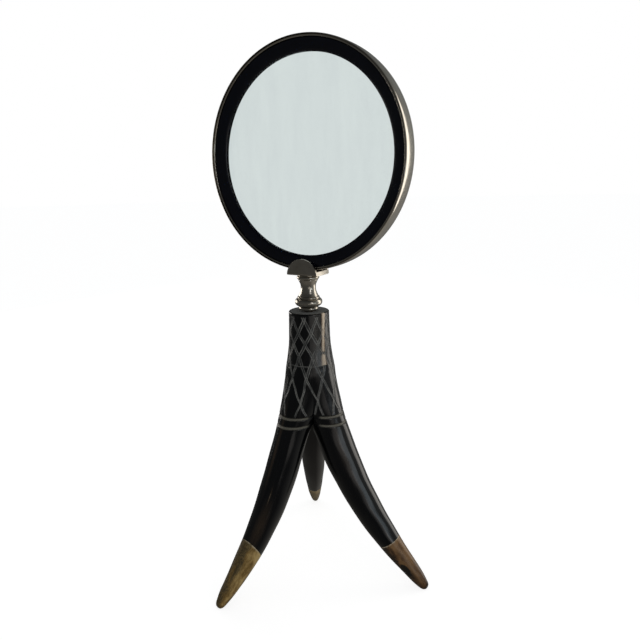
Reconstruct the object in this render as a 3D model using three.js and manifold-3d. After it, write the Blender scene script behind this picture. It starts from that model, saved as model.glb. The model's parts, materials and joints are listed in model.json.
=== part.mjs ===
// A table magnifying glass: a framed lens on a nickel neck, on a tripod of three carved horns.
// Millimetres, +Z up. The lens faces -Y, and the origin is at the middle of the footprint, on the floor.

import * as THREE from "three";
import { mergeVertices } from "three/addons/utils/BufferGeometryUtils.js";
import Module from "manifold-3d";

const wasm = await Module();
wasm.setup();

// ---- Driving dimensions ----

const GAP = 0.3; // clearance between neighbouring pieces

// Lens frame: a ring that stands upright, its axis along Y.
const RING_RADIUS = 75.5;
const RING_CENTRE_HEIGHT = 308.5;
const BAND_HALF_WIDTH = 6.8;
const BAND_SEAT_RADIUS = 73.9; // inside of the band, where it holds the horn rings
const BAND_EDGE_RADIUS = 74.7; // inside of the band's edges, where the rims sit
const BAND_SEAT_HALF_WIDTH = 4.2;
const RIM_RADIUS = 73.85; // centre line of the bead that covers each edge
const RIM_BEAD_RADIUS = 0.65;
const RIM_OFFSET = 5.3; // from the middle of the ring to the middle of a rim

const OPENING_RADIUS = 65.15; // what the horn rings leave clear of the lens
const LENS_RADIUS = 67.6;
const LENS_EDGE_THICKNESS = 2;
const LENS_FACE_RADIUS = 480; // curvature of both faces

// Saddle: one plate folded into a U under the ring.
const SADDLE_CHEEK_RADIUS = 12.1;
const SADDLE_HALF_DEPTH = 8.8;
const SADDLE_PLATE = 1.6;
const SADDLE_BASE_HEIGHT = 229.7;
const SADDLE_BASE_THICKNESS = 3;
const SADDLE_FOLD_RADIUS = 1.4;

// Neck and the stud through it.
const NECK_BASE_HEIGHT = 207.5;
const NECK_TOP_HEIGHT = SADDLE_BASE_HEIGHT - GAP;
const STUD_RADIUS = 2.5;
const STUD_BOTTOM_HEIGHT = 184;
const STUD_TOP_HEIGHT = 237.6;
const NUT_WIDTH = 7; // across flats
const NUT_HEIGHT = 2.4;
const INSERT_RADIUS = 4.8;
const INSERT_LENGTH = 20;
const FERRULE_RADIUS = 7;
const FERRULE_BEAD_RADIUS = 1.5;

// Horn collar and legs.
const COLLAR_TOP_HEIGHT = 203.6;
const COLLAR_JOINT_HEIGHT = 166.5;
const COLLAR_TOP_RADIUS = 14.5;
const COLLAR_JOINT_RADIUS = 17.05;
const COLLAR_EDGE_ROUNDING = 0.8;
const LEG_GROOVE_HEIGHTS = [128.3, 121.9]; // two level grooves below the carving
const LEG_GROOVE_DEPTH = 0.7;
const LEG_GROOVE_WIDTH = 1.8;
const FOOT_REACH = 86; // from the stand's axis to where a foot stands
const HOLLOW_HEIGHT = 108; // where the inner faces of the legs are hollowed most
const HOLLOW_SPREAD = 25;

const JOINT_DOWEL = { radius: 2.6, length: 20, reach: 9 };
const TIP_DOWEL = { radius: 1.8, length: 15 };

const RING_SEGMENTS = 48;
const SMALL_SEGMENTS = 24;
const HORN_SIDES = 20;
const DOWEL_SIDES = 12;
const HORN_ROWS_PER_SPAN = 2;

// Each horn is natural, so the three differ a little. Azimuth is the way the foot points, in degrees
// from +X, and reach is how far out it stands. Bow moves the middle of the horn outwards, and sway
// moves its lower half outwards and its upper half inwards. Taper is how much slimmer it is at the
// floor, as a share of its radius, and hollow is how much its inner face is cut back below the grooves.
// The seam's lean and slope tilt it: the outer face of the horn and its anticlockwise face reach that
// much further up per unit across.
const LEGS = [
  {
    side: "front_left",
    azimuth: 247.8,
    reach: 84.8,
    bow: 0.2,
    sway: 0.3,
    taper: 0.05,
    hollow: 3.5,
    seam: { height: 35, lean: 0.47, slope: 0.16 },
  },
  {
    side: "front_right",
    azimuth: 5.6,
    reach: 88.2,
    bow: -2.3,
    sway: 1,
    taper: 0.06,
    hollow: 1.9,
    seam: { height: 32.5, lean: -0.08, slope: 0 },
  },
  {
    side: "rear",
    azimuth: 120.5,
    reach: 83,
    bow: 0,
    sway: 0,
    taper: 0.36,
    hollow: 2.5,
    seam: { height: 31.8, lean: 0, slope: 0 },
  },
];

// The line that the horns follow, from inside the collar to the end of the tip:
// distance from the stand's axis, height, and the horn's radius there.
const HORN_LINE = [
  [-1.5, 182, 15],
  [-0.1, 166.5, 17.1],
  [0.8, 159, 17.7],
  [4.6, 147, 16.5],
  [9.9, 133, 15.2],
  [15.9, 118, 14],
  [25.2, 94, 13.7],
  [33.2, 77, 12.4],
  [42, 60, 11.3],
  [51.8, 44, 10],
  [62.8, 29, 8.5],
  [75, 14.8, 6.5],
  [81.2, 8, 5.4],
  [85, 3.8, 4.2],
  [86.7, 2.1, 3.5],
  [88, 0.8, 2.2],
  [88.6, 0.2, 0],
];

// ---- Materials ----

const metal = (color, roughness) =>
  new THREE.MeshStandardMaterial({ color, roughness, metalness: 1 });
const dull = (color, roughness) =>
  new THREE.MeshStandardMaterial({ color, roughness, metalness: 0 });

const nickel = () => metal(0x8f8a7c, 0.3);
const steel = () => metal(0x9a9a98, 0.4);
const brass = () => metal(0xb08d4a, 0.4);
const blackHorn = () => dull(0x0d0d0e, 0.22);
const paleHorn = () => dull(0x77603a, 0.35);
const wood = () => dull(0xb58e60, 0.7);
const glass = () =>
  new THREE.MeshStandardMaterial({
    color: 0xd3dcdb,
    roughness: 0.05,
    transparent: true,
    opacity: 0.35,
  });

// ---- Solids ----

function solidOf(geometry) {
  const bare = geometry.clone();
  bare.deleteAttribute("normal");
  bare.deleteAttribute("uv");
  const merged = mergeVertices(bare);
  return new wasm.Manifold(
    new wasm.Mesh({
      numProp: 3,
      vertProperties: merged.attributes.position.array,
      triVerts: new Uint32Array(merged.index.array),
    }),
  );
}

function geometryOf(solid) {
  const mesh = solid.getMesh();
  const geometry = new THREE.BufferGeometry();
  geometry.setAttribute("position", new THREE.BufferAttribute(mesh.vertProperties, 3));
  geometry.setIndex(new THREE.BufferAttribute(mesh.triVerts, 1));
  geometry.computeVertexNormals();
  return geometry;
}

function without(geometry, ...tools) {
  let solid = solidOf(geometry);
  for (const tool of tools) solid = solid.subtract(solidOf(tool));
  return geometryOf(solid);
}

function within(geometry, tool) {
  return geometryOf(solidOf(geometry).intersect(solidOf(tool)));
}

// ---- Shapes ----

// A profile of [radius, height] turned about Z.
function turned(profile, segments) {
  const points = profile.map(([radius, height]) => new THREE.Vector2(radius, height));
  return new THREE.LatheGeometry(points, segments).rotateX(Math.PI / 2);
}

// A profile of [radius, depth] turned about the ring's own axis, which runs along Y.
function hoop(profile) {
  const points = profile.map(([radius, depth]) => new THREE.Vector2(radius, depth));
  return new THREE.LatheGeometry(points, RING_SEGMENTS).translate(0, 0, RING_CENTRE_HEIGHT);
}

// An outline in the X-Z plane, given a thickness along Y about y = 0.
function plate(shape, thickness) {
  return new THREE.ExtrudeGeometry(shape, {
    depth: thickness,
    bevelEnabled: false,
    curveSegments: SMALL_SEGMENTS,
  })
    .translate(0, 0, -thickness / 2)
    .rotateX(Math.PI / 2);
}

// A prism that stands on its outline, from one height to another.
function prism(outline, bottom, top) {
  const shape = new THREE.Shape(outline.map(([x, y]) => new THREE.Vector2(x, y)));
  return new THREE.ExtrudeGeometry(shape, { depth: top - bottom, bevelEnabled: false }).translate(
    0,
    0,
    bottom,
  );
}

// An upright round rod from one height to another.
function rod(radius, bottom, top, sides = SMALL_SEGMENTS) {
  return new THREE.CylinderGeometry(radius, radius, top - bottom, sides)
    .rotateX(Math.PI / 2)
    .translate(0, 0, (top + bottom) / 2);
}

// Points [radius, height] on an arc of a turned profile, at angles in degrees from the outward way.
function arc(radius, height, size, from, to, steps) {
  return Array.from({ length: steps + 1 }, (_, i) => {
    const angle = THREE.MathUtils.degToRad(from + ((to - from) * i) / steps);
    return [radius + size * Math.cos(angle), height + size * Math.sin(angle)];
  });
}

// ---- The lens and its frame ----

// How far a face of the lens stands from its middle plane, at a distance from its axis.
function lensFace(distance) {
  const bulge = (reach) => LENS_FACE_RADIUS - Math.sqrt(LENS_FACE_RADIUS ** 2 - reach ** 2);
  return LENS_EDGE_THICKNESS / 2 + bulge(LENS_RADIUS) - bulge(distance);
}

function lens() {
  const steps = 4;
  const half = Array.from({ length: steps + 1 }, (_, i) => (LENS_RADIUS * i) / steps);
  const front = half.map((reach) => [reach, -lensFace(reach)]);
  const rear = half.map((reach) => [reach, lensFace(reach)]).reverse();
  return hoop([...front, ...rear]);
}

// One of the two rings that clamp the lens, from its outside inwards down a bevel to the opening.
// Facing is -1 for the front ring and 1 for the rear ring.
function hornRing(facing) {
  const outside = BAND_SEAT_RADIUS - GAP;
  const lipDepth = lensFace(OPENING_RADIUS) + GAP;
  const seat = LENS_EDGE_THICKNESS / 2 + GAP;
  const profile = [
    [LENS_RADIUS + GAP, GAP / 2],
    [outside, GAP / 2],
    [outside, BAND_SEAT_HALF_WIDTH],
    [72.6, 4.9],
    [70.8, 4.6],
    [67.4, 3.6],
    [OPENING_RADIUS + 0.4, lipDepth + 0.9],
    [OPENING_RADIUS, lipDepth + 0.4],
    [OPENING_RADIUS, lipDepth],
    [LENS_RADIUS + GAP, seat],
  ].map(([radius, depth]) => [radius, facing * depth]);
  const ring = hoop(closed(facing > 0 ? profile : profile.reverse()));
  const nutPocket = rod(
    NUT_WIDTH / Math.sqrt(3) + GAP,
    STUD_TOP_HEIGHT - 6,
    STUD_TOP_HEIGHT + GAP,
    SMALL_SEGMENTS,
  );
  return without(ring, nutPocket);
}

function closed(profile) {
  return [...profile, profile[0]];
}

// The nickel band: crowned outside, with a wider seat at each edge for the rims.
function band() {
  const crown = RING_RADIUS - BAND_EDGE_RADIUS;
  const steps = 8;
  const outside = Array.from({ length: steps + 1 }, (_, i) => {
    const angle = (-90 + (180 * i) / steps) * THREE.MathUtils.DEG2RAD;
    const across = Math.sign(Math.sin(angle)) * Math.abs(Math.sin(angle)) ** 0.7;
    return [BAND_EDGE_RADIUS + crown * Math.cos(angle) ** 0.7, BAND_HALF_WIDTH * across];
  });
  const inside = [
    [BAND_EDGE_RADIUS, BAND_SEAT_HALF_WIDTH],
    [BAND_SEAT_RADIUS, BAND_SEAT_HALF_WIDTH],
    [BAND_SEAT_RADIUS, -BAND_SEAT_HALF_WIDTH],
    [BAND_EDGE_RADIUS, -BAND_SEAT_HALF_WIDTH],
  ];
  const studHole = rod(STUD_RADIUS + GAP, SADDLE_BASE_HEIGHT, STUD_TOP_HEIGHT, DOWEL_SIDES);
  return without(hoop(closed([...outside, ...inside])), studHole);
}

function rim(facing) {
  return hoop(closed(arc(RIM_RADIUS, facing * RIM_OFFSET, RIM_BEAD_RADIUS, 0, 315, 7)));
}

// ---- The saddle, neck and stud ----

function saddle() {
  const inside = SADDLE_HALF_DEPTH - SADDLE_PLATE;
  const floor = SADDLE_BASE_HEIGHT + SADDLE_BASE_THICKNESS;
  const top = SADDLE_BASE_HEIGHT + 1.2 * SADDLE_CHEEK_RADIUS;
  const fold = SADDLE_FOLD_RADIUS;
  const section = new THREE.Shape();
  section.moveTo(-SADDLE_HALF_DEPTH, top);
  section.lineTo(-SADDLE_HALF_DEPTH, SADDLE_BASE_HEIGHT + fold);
  section.absarc(-SADDLE_HALF_DEPTH + fold, SADDLE_BASE_HEIGHT + fold, fold, Math.PI, 1.5 * Math.PI);
  section.absarc(SADDLE_HALF_DEPTH - fold, SADDLE_BASE_HEIGHT + fold, fold, -Math.PI / 2, 0);
  section.lineTo(SADDLE_HALF_DEPTH, top);
  section.lineTo(inside, top);
  section.lineTo(inside, floor);
  section.lineTo(-inside, floor);
  section.lineTo(-inside, top);
  const folded = new THREE.ExtrudeGeometry(section, {
    depth: 4 * SADDLE_CHEEK_RADIUS,
    bevelEnabled: false,
    curveSegments: 4,
  })
    .translate(0, 0, -2 * SADDLE_CHEEK_RADIUS)
    .rotateY(Math.PI / 2)
    .rotateX(Math.PI / 2);
  const disc = new THREE.Shape();
  disc.absarc(0, 0, SADDLE_CHEEK_RADIUS, 0, 2 * Math.PI);
  const cheeks = plate(disc, 4 * SADDLE_HALF_DEPTH).translate(0, 0, SADDLE_BASE_HEIGHT - 0.5);
  const studHole = rod(STUD_RADIUS + GAP, SADDLE_BASE_HEIGHT - 1, floor + 1, DOWEL_SIDES);
  return without(within(folded, cheeks), studHole);
}

function neck() {
  const bore = STUD_RADIUS + GAP;
  const base = NECK_BASE_HEIGHT;
  const waist = new THREE.SplineCurve([
    new THREE.Vector2(7.2, base + 6.9),
    new THREE.Vector2(6.1, base + 9.2),
    new THREE.Vector2(5.4, base + 12),
    new THREE.Vector2(5.6, base + 15.2),
    new THREE.Vector2(7, base + 18.4),
  ]).getPoints(8);
  return turned(
    closed([
      [bore, base],
      [6.6, base],
      ...arc(6.9, base + 2.6, 2.9, -62, 55, 5),
      [8, base + 5.1],
      ...arc(7.2, base + 5.9, 0.8, -60, 60, 2),
      ...waist.map(({ x, y }) => [x, y]),
      ...arc(6.6, base + 20.1, 1.3, -55, 60, 3),
      [7, NECK_TOP_HEIGHT],
      [bore, NECK_TOP_HEIGHT],
    ]),
    SMALL_SEGMENTS,
  );
}

function neckStud() {
  const chamfer = 0.6;
  return turned(
    [
      [0, STUD_BOTTOM_HEIGHT],
      [STUD_RADIUS - chamfer, STUD_BOTTOM_HEIGHT],
      [STUD_RADIUS, STUD_BOTTOM_HEIGHT + chamfer],
      [STUD_RADIUS, STUD_TOP_HEIGHT - chamfer],
      [STUD_RADIUS - chamfer, STUD_TOP_HEIGHT],
      [0, STUD_TOP_HEIGHT],
    ],
    SMALL_SEGMENTS,
  );
}

// The nut sits in a pocket of the horn rings, on the inside of the band.
function bandNut() {
  const bottom = RING_CENTRE_HEIGHT - BAND_SEAT_RADIUS + GAP;
  const across = NUT_WIDTH / Math.sqrt(3);
  const nut = rod(across, bottom, bottom + NUT_HEIGHT, 6);
  return without(nut, rod(STUD_RADIUS + GAP, bottom - 1, bottom + NUT_HEIGHT + 1, DOWEL_SIDES));
}

function ferrule() {
  const bottom = COLLAR_TOP_HEIGHT + GAP;
  const top = NECK_BASE_HEIGHT - GAP;
  const bead = arc(
    FERRULE_RADIUS - FERRULE_BEAD_RADIUS,
    (bottom + top) / 2,
    FERRULE_BEAD_RADIUS,
    -80,
    80,
    6,
  );
  const bore = STUD_RADIUS + GAP;
  return turned(
    closed([[bore, bottom], [5.4, bottom], ...bead, [5.4, top], [bore, top]]),
    SMALL_SEGMENTS,
  );
}

function threadedInsert() {
  const top = COLLAR_TOP_HEIGHT - GAP;
  const bore = STUD_RADIUS + GAP;
  return turned(
    closed([
      [bore, top - INSERT_LENGTH],
      [INSERT_RADIUS, top - INSERT_LENGTH],
      [INSERT_RADIUS, top],
      [bore, top],
    ]),
    SMALL_SEGMENTS,
  );
}

// ---- The horn collar, legs and tips ----

function hornCollar() {
  const bore = INSERT_RADIUS + GAP;
  const boreBottom = COLLAR_TOP_HEIGHT - GAP - INSERT_LENGTH - GAP;
  const flare = new THREE.SplineCurve([
    new THREE.Vector2(COLLAR_JOINT_RADIUS, COLLAR_JOINT_HEIGHT),
    new THREE.Vector2(16.3, 171.2),
    new THREE.Vector2(15.2, 180),
    new THREE.Vector2(14.8, 189),
    new THREE.Vector2(COLLAR_TOP_RADIUS, COLLAR_TOP_HEIGHT - COLLAR_EDGE_ROUNDING),
  ]).getPoints(10);
  const body = turned(
    [
      [0, COLLAR_JOINT_HEIGHT],
      ...flare.map(({ x, y }) => [x, y]),
      [COLLAR_TOP_RADIUS - COLLAR_EDGE_ROUNDING, COLLAR_TOP_HEIGHT],
      [bore, COLLAR_TOP_HEIGHT],
      [bore, boreBottom],
      [0, boreBottom],
    ],
    SMALL_SEGMENTS,
  );
  return without(body, ...LEGS.map((leg) => jointDowel(leg, GAP)));
}

// A horn's line for one leg, as a curve of (reach, height, radius).
function hornLine(leg) {
  const points = HORN_LINE.map(([reach, height, radius]) => {
    const rise = Math.PI * Math.min(height / COLLAR_JOINT_HEIGHT, 1);
    const offset = leg.bow * Math.sin(rise) ** 2 + leg.sway * Math.sin(2 * rise);
    const slimming = radius * leg.taper * (1 - rise / Math.PI); // lowers the horn too, to keep its foot down
    const hollow = (leg.hollow / 2) * Math.exp(-(((height - HOLLOW_HEIGHT) / HOLLOW_SPREAD) ** 2));
    const outwards = (reach * leg.reach) / FOOT_REACH + offset + hollow;
    return new THREE.Vector3(outwards, height - slimming, radius - slimming - hollow);
  });
  return new THREE.CatmullRomCurve3(points);
}

// How far along a line, from 0 to 1, it passes a height.
function stationAt(line, height) {
  let [above, below] = [0, 1];
  for (let step = 0; step < 30; step += 1) {
    const middle = (above + below) / 2;
    if (line.getPoint(middle).y > height) above = middle;
    else below = middle;
  }
  return above;
}

// The horn's own axes at a station: its centre, the way along it, its outer face and its side.
function hornFrame(leg, line, station) {
  const azimuth = THREE.MathUtils.degToRad(leg.azimuth);
  const outward = new THREE.Vector3(Math.cos(azimuth), Math.sin(azimuth), 0);
  const up = new THREE.Vector3(0, 0, 1);
  const { x: reach, y: height } = line.getPoint(station);
  const { x, y } = line.getTangent(station);
  const along = outward.clone().multiplyScalar(x).addScaledVector(up, y).normalize();
  const side = new THREE.Vector3().crossVectors(up, outward);
  return {
    centre: outward.clone().multiplyScalar(reach).addScaledVector(up, height),
    along,
    side,
    outer: new THREE.Vector3().crossVectors(along, side),
  };
}

// A whole horn: a turned profile whose axis is then bent along the horn's line.
function bentHorn(leg, slimmer = 0) {
  const line = hornLine(leg);
  const rows = (HORN_LINE.length - 1) * HORN_ROWS_PER_SPAN;
  const skin = Array.from({ length: rows }, (_, row) => {
    return new THREE.Vector2(Math.max(line.getPoint(row / rows).z - slimmer, GAP), row / rows);
  });
  const ends = [0, 1].map((station) => new THREE.Vector2(0, station));
  const geometry = new THREE.LatheGeometry([ends[0], ...skin, ends[1]], HORN_SIDES);
  const position = geometry.attributes.position;
  for (let i = 0; i < position.count; i += 1) {
    const { centre, outer, side } = hornFrame(leg, line, position.getY(i));
    centre.addScaledVector(outer, position.getX(i)).addScaledVector(side, position.getZ(i));
    position.setXYZ(i, centre.x, centre.y, centre.z);
  }
  return geometry;
}

// What a level groove takes off a horn: all that lies at its height outside a slimmer horn.
function levelGroove(leg, height) {
  const far = 60;
  const square = [
    [-far, -far],
    [far, -far],
    [far, far],
    [-far, far],
  ];
  const slab = prism(square, height - LEG_GROOVE_WIDTH / 2, height + LEG_GROOVE_WIDTH / 2);
  return without(slab, bentHorn(leg, LEG_GROOVE_DEPTH));
}

// The third of the stand that a leg may fill: between the mitres to its neighbours, above the floor.
function legSector(leg) {
  const far = 400;
  const turns = LEGS.map(({ azimuth }) => (azimuth - leg.azimuth + 360) % 360).filter((turn) => turn > 0);
  const left = Math.min(...turns) / 2;
  const right = (360 - Math.max(...turns)) / 2;
  const ray = (turn) => {
    const angle = THREE.MathUtils.degToRad(leg.azimuth + turn);
    return [Math.cos(angle), Math.sin(angle)];
  };
  const middle = (left - right) / 2;
  const apex = GAP / 2 / Math.sin(THREE.MathUtils.degToRad((left + right) / 2));
  const shifted = ([x, y], size) => [ray(middle)[0] * apex + x * size, ray(middle)[1] * apex + y * size];
  const outline = [shifted([0, 0], 0), shifted(ray(-right), far), shifted(ray(left), far)];
  return prism(outline, 0, COLLAR_JOINT_HEIGHT - GAP);
}

// A block that fills everything past the tip's seam, towards the foot, from a gap before the seam.
function pastSeam(leg, gap) {
  const size = 120;
  const line = hornLine(leg);
  const { centre, along, outer, side } = hornFrame(leg, line, stationAt(line, leg.seam.height));
  const { lean, slope } = leg.seam;
  const normal = along.clone().addScaledVector(outer, lean).addScaledVector(side, slope).normalize();
  const turn = new THREE.Quaternion().setFromUnitVectors(new THREE.Vector3(0, 0, 1), normal);
  return new THREE.BoxGeometry(size, size, size)
    .translate(0, 0, size / 2 - gap)
    .applyQuaternion(turn)
    .translate(centre.x, centre.y, centre.z);
}

// The dowel between the collar and a leg, or with a gap the hole for it.
function jointDowel(leg, gap = 0) {
  const azimuth = THREE.MathUtils.degToRad(leg.azimuth);
  const { radius, length, reach } = JOINT_DOWEL;
  const half = length / 2 + gap;
  return rod(radius + gap, COLLAR_JOINT_HEIGHT - half, COLLAR_JOINT_HEIGHT + half, DOWEL_SIDES).translate(
    reach * Math.cos(azimuth),
    reach * Math.sin(azimuth),
    0,
  );
}

// The dowel between a leg and its tip, or with a gap the hole for it.
function tipDowel(leg, gap = 0) {
  const line = hornLine(leg);
  const { centre, along } = hornFrame(leg, line, stationAt(line, leg.seam.height));
  const turn = new THREE.Quaternion().setFromUnitVectors(new THREE.Vector3(0, 0, 1), along);
  const half = TIP_DOWEL.length / 2 + gap;
  return rod(TIP_DOWEL.radius + gap, -half, half, DOWEL_SIDES)
    .applyQuaternion(turn)
    .translate(centre.x, centre.y, centre.z);
}

function legBody(leg) {
  const horn = within(bentHorn(leg), legSector(leg));
  const grooves = LEG_GROOVE_HEIGHTS.map((height) => levelGroove(leg, height));
  return without(horn, pastSeam(leg, GAP / 2), jointDowel(leg, GAP), tipDowel(leg, GAP), ...grooves);
}

function legTip(leg) {
  const horn = within(bentHorn(leg), legSector(leg));
  return without(within(horn, pastSeam(leg, -GAP / 2)), tipDowel(leg, GAP));
}

// ---- The assembly ----

function part(name, geometry, material) {
  const mesh = new THREE.Mesh(geometry, material);
  mesh.name = name;
  return mesh;
}

// What stays still: the horn tripod and the fittings in its top.
function stand() {
  const group = new THREE.Group();
  group.add(part("horn_collar", hornCollar(), blackHorn()));
  group.add(part("threaded_insert", threadedInsert(), brass()));
  group.add(part("collar_ferrule", ferrule(), nickel()));
  for (const leg of LEGS) {
    group.add(part("leg_" + leg.side, legBody(leg), blackHorn()));
    group.add(part("tip_" + leg.side, legTip(leg), paleHorn()));
    group.add(part("collar_dowel_" + leg.side, jointDowel(leg), wood()));
    group.add(part("tip_dowel_" + leg.side, tipDowel(leg), wood()));
  }
  return group;
}

// What turns on the stand's axis: the neck, the saddle and the framed lens.
function head() {
  const group = new THREE.Group();
  group.add(part("neck_stud", neckStud(), steel()));
  group.add(part("neck", neck(), nickel()));
  group.add(part("saddle", saddle(), nickel()));
  group.add(part("band_nut", bandNut(), steel()));
  group.add(part("bezel_band", band(), nickel()));
  group.add(part("bezel_rim_front", rim(-1), nickel()));
  group.add(part("bezel_rim_rear", rim(1), nickel()));
  group.add(part("horn_ring_front", hornRing(-1), blackHorn()));
  group.add(part("horn_ring_rear", hornRing(1), blackHorn()));
  group.add(part("lens", lens(), glass()));
  return group;
}

const magnifier = new THREE.Group();
magnifier.add(stand(), head());

// Move the stand's axis so that the origin is under the middle of the whole object.
const box = new THREE.Box3().setFromObject(magnifier);
magnifier.position.set(-(box.min.x + box.max.x) / 2, -(box.min.y + box.max.y) / 2, -box.min.z);

export default magnifier;
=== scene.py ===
"""A table magnifying glass on a horn tripod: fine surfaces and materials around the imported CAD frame.

Blender 4.5. The frame and the finished scene are in metres, +Z up, and the lens faces -Y. Shapes are
worked out in millimetres about the stand's axis, then moved to the frame by new_piece().
"""

import json
import math

import bmesh
import bpy
import numpy as np
from mathutils import Matrix, Vector


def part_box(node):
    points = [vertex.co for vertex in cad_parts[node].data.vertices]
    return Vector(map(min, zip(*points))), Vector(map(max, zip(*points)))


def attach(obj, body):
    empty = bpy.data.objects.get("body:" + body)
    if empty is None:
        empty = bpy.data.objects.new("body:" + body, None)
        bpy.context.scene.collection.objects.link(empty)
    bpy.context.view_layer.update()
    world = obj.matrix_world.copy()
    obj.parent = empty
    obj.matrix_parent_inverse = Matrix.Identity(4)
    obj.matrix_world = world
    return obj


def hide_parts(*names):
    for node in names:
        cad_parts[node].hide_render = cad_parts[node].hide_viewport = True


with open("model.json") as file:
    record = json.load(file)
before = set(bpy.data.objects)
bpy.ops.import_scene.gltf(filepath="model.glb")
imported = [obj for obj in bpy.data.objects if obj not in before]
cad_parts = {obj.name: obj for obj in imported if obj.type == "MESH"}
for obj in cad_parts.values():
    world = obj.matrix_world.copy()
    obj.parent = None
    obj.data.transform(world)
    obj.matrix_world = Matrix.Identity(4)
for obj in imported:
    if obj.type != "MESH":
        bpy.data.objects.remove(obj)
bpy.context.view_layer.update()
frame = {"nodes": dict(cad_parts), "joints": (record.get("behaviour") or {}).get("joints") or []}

MM = 0.001
SWIVEL = frame["joints"][0]
AXIS = np.array([SWIVEL["pos_m"][0], SWIVEL["pos_m"][1], 0.0])


def node_box(node):
    """The lowest and the highest corner of a CAD node, in millimetres about the stand's axis."""
    return [(np.array(corner) - AXIS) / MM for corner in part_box(node)]


# ---- Driving dimensions, in millimetres ----

SEAM_GAP = 0.1  # the fine dark line left between two pieces of horn
CLEARANCE = 0.3  # between a piece and what sits in it

BAND_LOW, BAND_HIGH = node_box("bezel_band")
RING_RADIUS = (BAND_HIGH[0] - BAND_LOW[0]) / 2
RING_CENTRE = np.array([0.0, 0.0, (BAND_HIGH[2] + BAND_LOW[2]) / 2])
BAND_HALF_WIDTH = (BAND_HIGH[1] - BAND_LOW[1]) / 2
BAND_SEAT_RADIUS = 73.9
BAND_EDGE_RADIUS = 74.7
BAND_SEAT_HALF_WIDTH = 4.2
BAND_SQUARENESS = 0.7  # below 1, the band's crown is squarer than a half round
RIM_RADIUS = 73.85
RIM_BEAD_RADIUS = 0.65
RIM_OFFSET = 5.3

OPENING_RADIUS = 65.15
LENS_RADIUS = 67.6
LENS_EDGE_THICKNESS = 2.0
LENS_FACE_RADIUS = 480.0
RING_BEVEL = [[72.7, 4.95], [71.2, 4.8], [69.6, 4.35], [67.8, 3.75], [66.3, 3.1]]  # radius and depth

SADDLE_BASE = node_box("saddle")[0][2]
SADDLE_HALF_DEPTH = 8.8
SADDLE_PLATE = 1.6
SADDLE_BASE_THICKNESS = 3.0
SADDLE_CHEEK_RADIUS = 12.1
SADDLE_FOLD_RADIUS = 1.4
SADDLE_EASING = 0.5

NECK_BASE, NECK_TOP = (corner[2] for corner in node_box("neck"))
FERRULE_BASE, FERRULE_TOP = (corner[2] for corner in node_box("collar_ferrule"))
STUD_HOLE_RADIUS = 2.8
NECK_WAIST = [[7.2, 6.9], [6.1, 9.2], [5.4, 12], [5.6, 15.2], [7, 18.4]]  # radius and rise from its base
FERRULE_RADIUS = 7.0
FERRULE_BEAD_RADIUS = 1.5
FERRULE_LIP_RADIUS = 5.4

COLLAR_JOINT, COLLAR_TOP = (corner[2] for corner in node_box("horn_collar"))
COLLAR_TOP_RADIUS = 14.5
COLLAR_EDGE_ROUNDING = 0.9
COLLAR_FLARE = [
    [17.05, COLLAR_JOINT], [16.3, 171.2], [15.2, 180], [14.8, 189],
    [COLLAR_TOP_RADIUS, COLLAR_TOP - COLLAR_EDGE_ROUNDING],
]
PAINTED_SHEEN_SIDE = -36  # degrees from +X, beside the pale streak: where a brownish sheen is painted in for a reflection of the lights
PAINTED_SHEEN_SPREAD = 16
STREAK_MIDDLES = [[166, 336.5], [170, 337], [181, 340], [192, 343], [204, 345]]  # height, degrees
STREAK_WIDTHS = [[166, 10], [172, 8.5], [177, 6], [185, 6], [204, 7.5]]  # height, degrees
STREAK_BREAK = 175.2
SAW_MARK_DEPTH = 0.05  # on the collar's top
INSERT_HOLE_RADIUS = 5.1
INSERT_HOLE_BOTTOM = node_box("threaded_insert")[0][2] - CLEARANCE

FOOT_REACH = 86.0
LEG_GROOVES = [128.3, 121.9]  # heights of the two level grooves round each leg
LEG_GROOVE_DEPTH = 0.6
LEG_GROOVE_HALF_WIDTH = 1.05
NARROWEST_SECTOR = 57.0  # degrees from a leg's middle to the nearest mitre
HOLLOW_HEIGHT = 108.0  # where the inner faces of the legs are hollowed most
HOLLOW_SPREAD = 25.0
SWELLING_DEPTH = 0.12  # the slow unevenness of a natural horn
SLIM_RADIUS = 4.0  # where the horn is slimmer than this, its carving and unevenness fade out
JOINT_DOWEL_HOLE = {"radius": 2.9, "depth": 10.3, "reach": 9.0}
TIP_DOWEL_HOLE = {"radius": 2.1, "depth": 7.8}

# Each horn is natural, so the three differ. Azimuth is the way the foot points, in degrees from +X.
# Bow, sway, taper and hollow bend and slim the horn, and the seam's lean and slope tilt its joint to
# the tip. Marks are patches of paler horn, and blotches are black ones on the tip. Each is a height on
# the horn's line, degrees round from its outer face, half its length, half its width and its strength.
LEGS = {
    "front_left": dict(
        azimuth=247.8, reach=84.8, bow=0.2, sway=0.3, taper=0.05, hollow=3.5,
        seam=35.0, lean=0.47, slope=0.16,
        marks=[(50, 42, 14, 3, 0.45), (104, 8, 22, 1.1, 0.5), (70, 38, 5, 0.35, 1), (19, 51, 7, 1.6, 0.5)],
        blotches=[],
    ),
    "front_right": dict(
        azimuth=5.6, reach=88.2, bow=-2.3, sway=1.0, taper=0.06, hollow=1.9,
        seam=32.5, lean=-0.08, slope=0.0,
        marks=[(98, -46, 22, 3.2, 0.22), (13.5, -52, 6.5, 1.6, 0.9)],
        blotches=[(14.5, -95, 4.4, 3.4, 1), (22, -93, 0.9, 0.7, 0.7)],
    ),
    "rear": dict(
        azimuth=120.5, reach=83.0, bow=0.0, sway=0.0, taper=0.36, hollow=2.5,
        seam=31.8, lean=0.0, slope=0.0,
        marks=[(90, 60, 25, 3, 0.4)],
        blotches=[],
    ),
}

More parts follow.
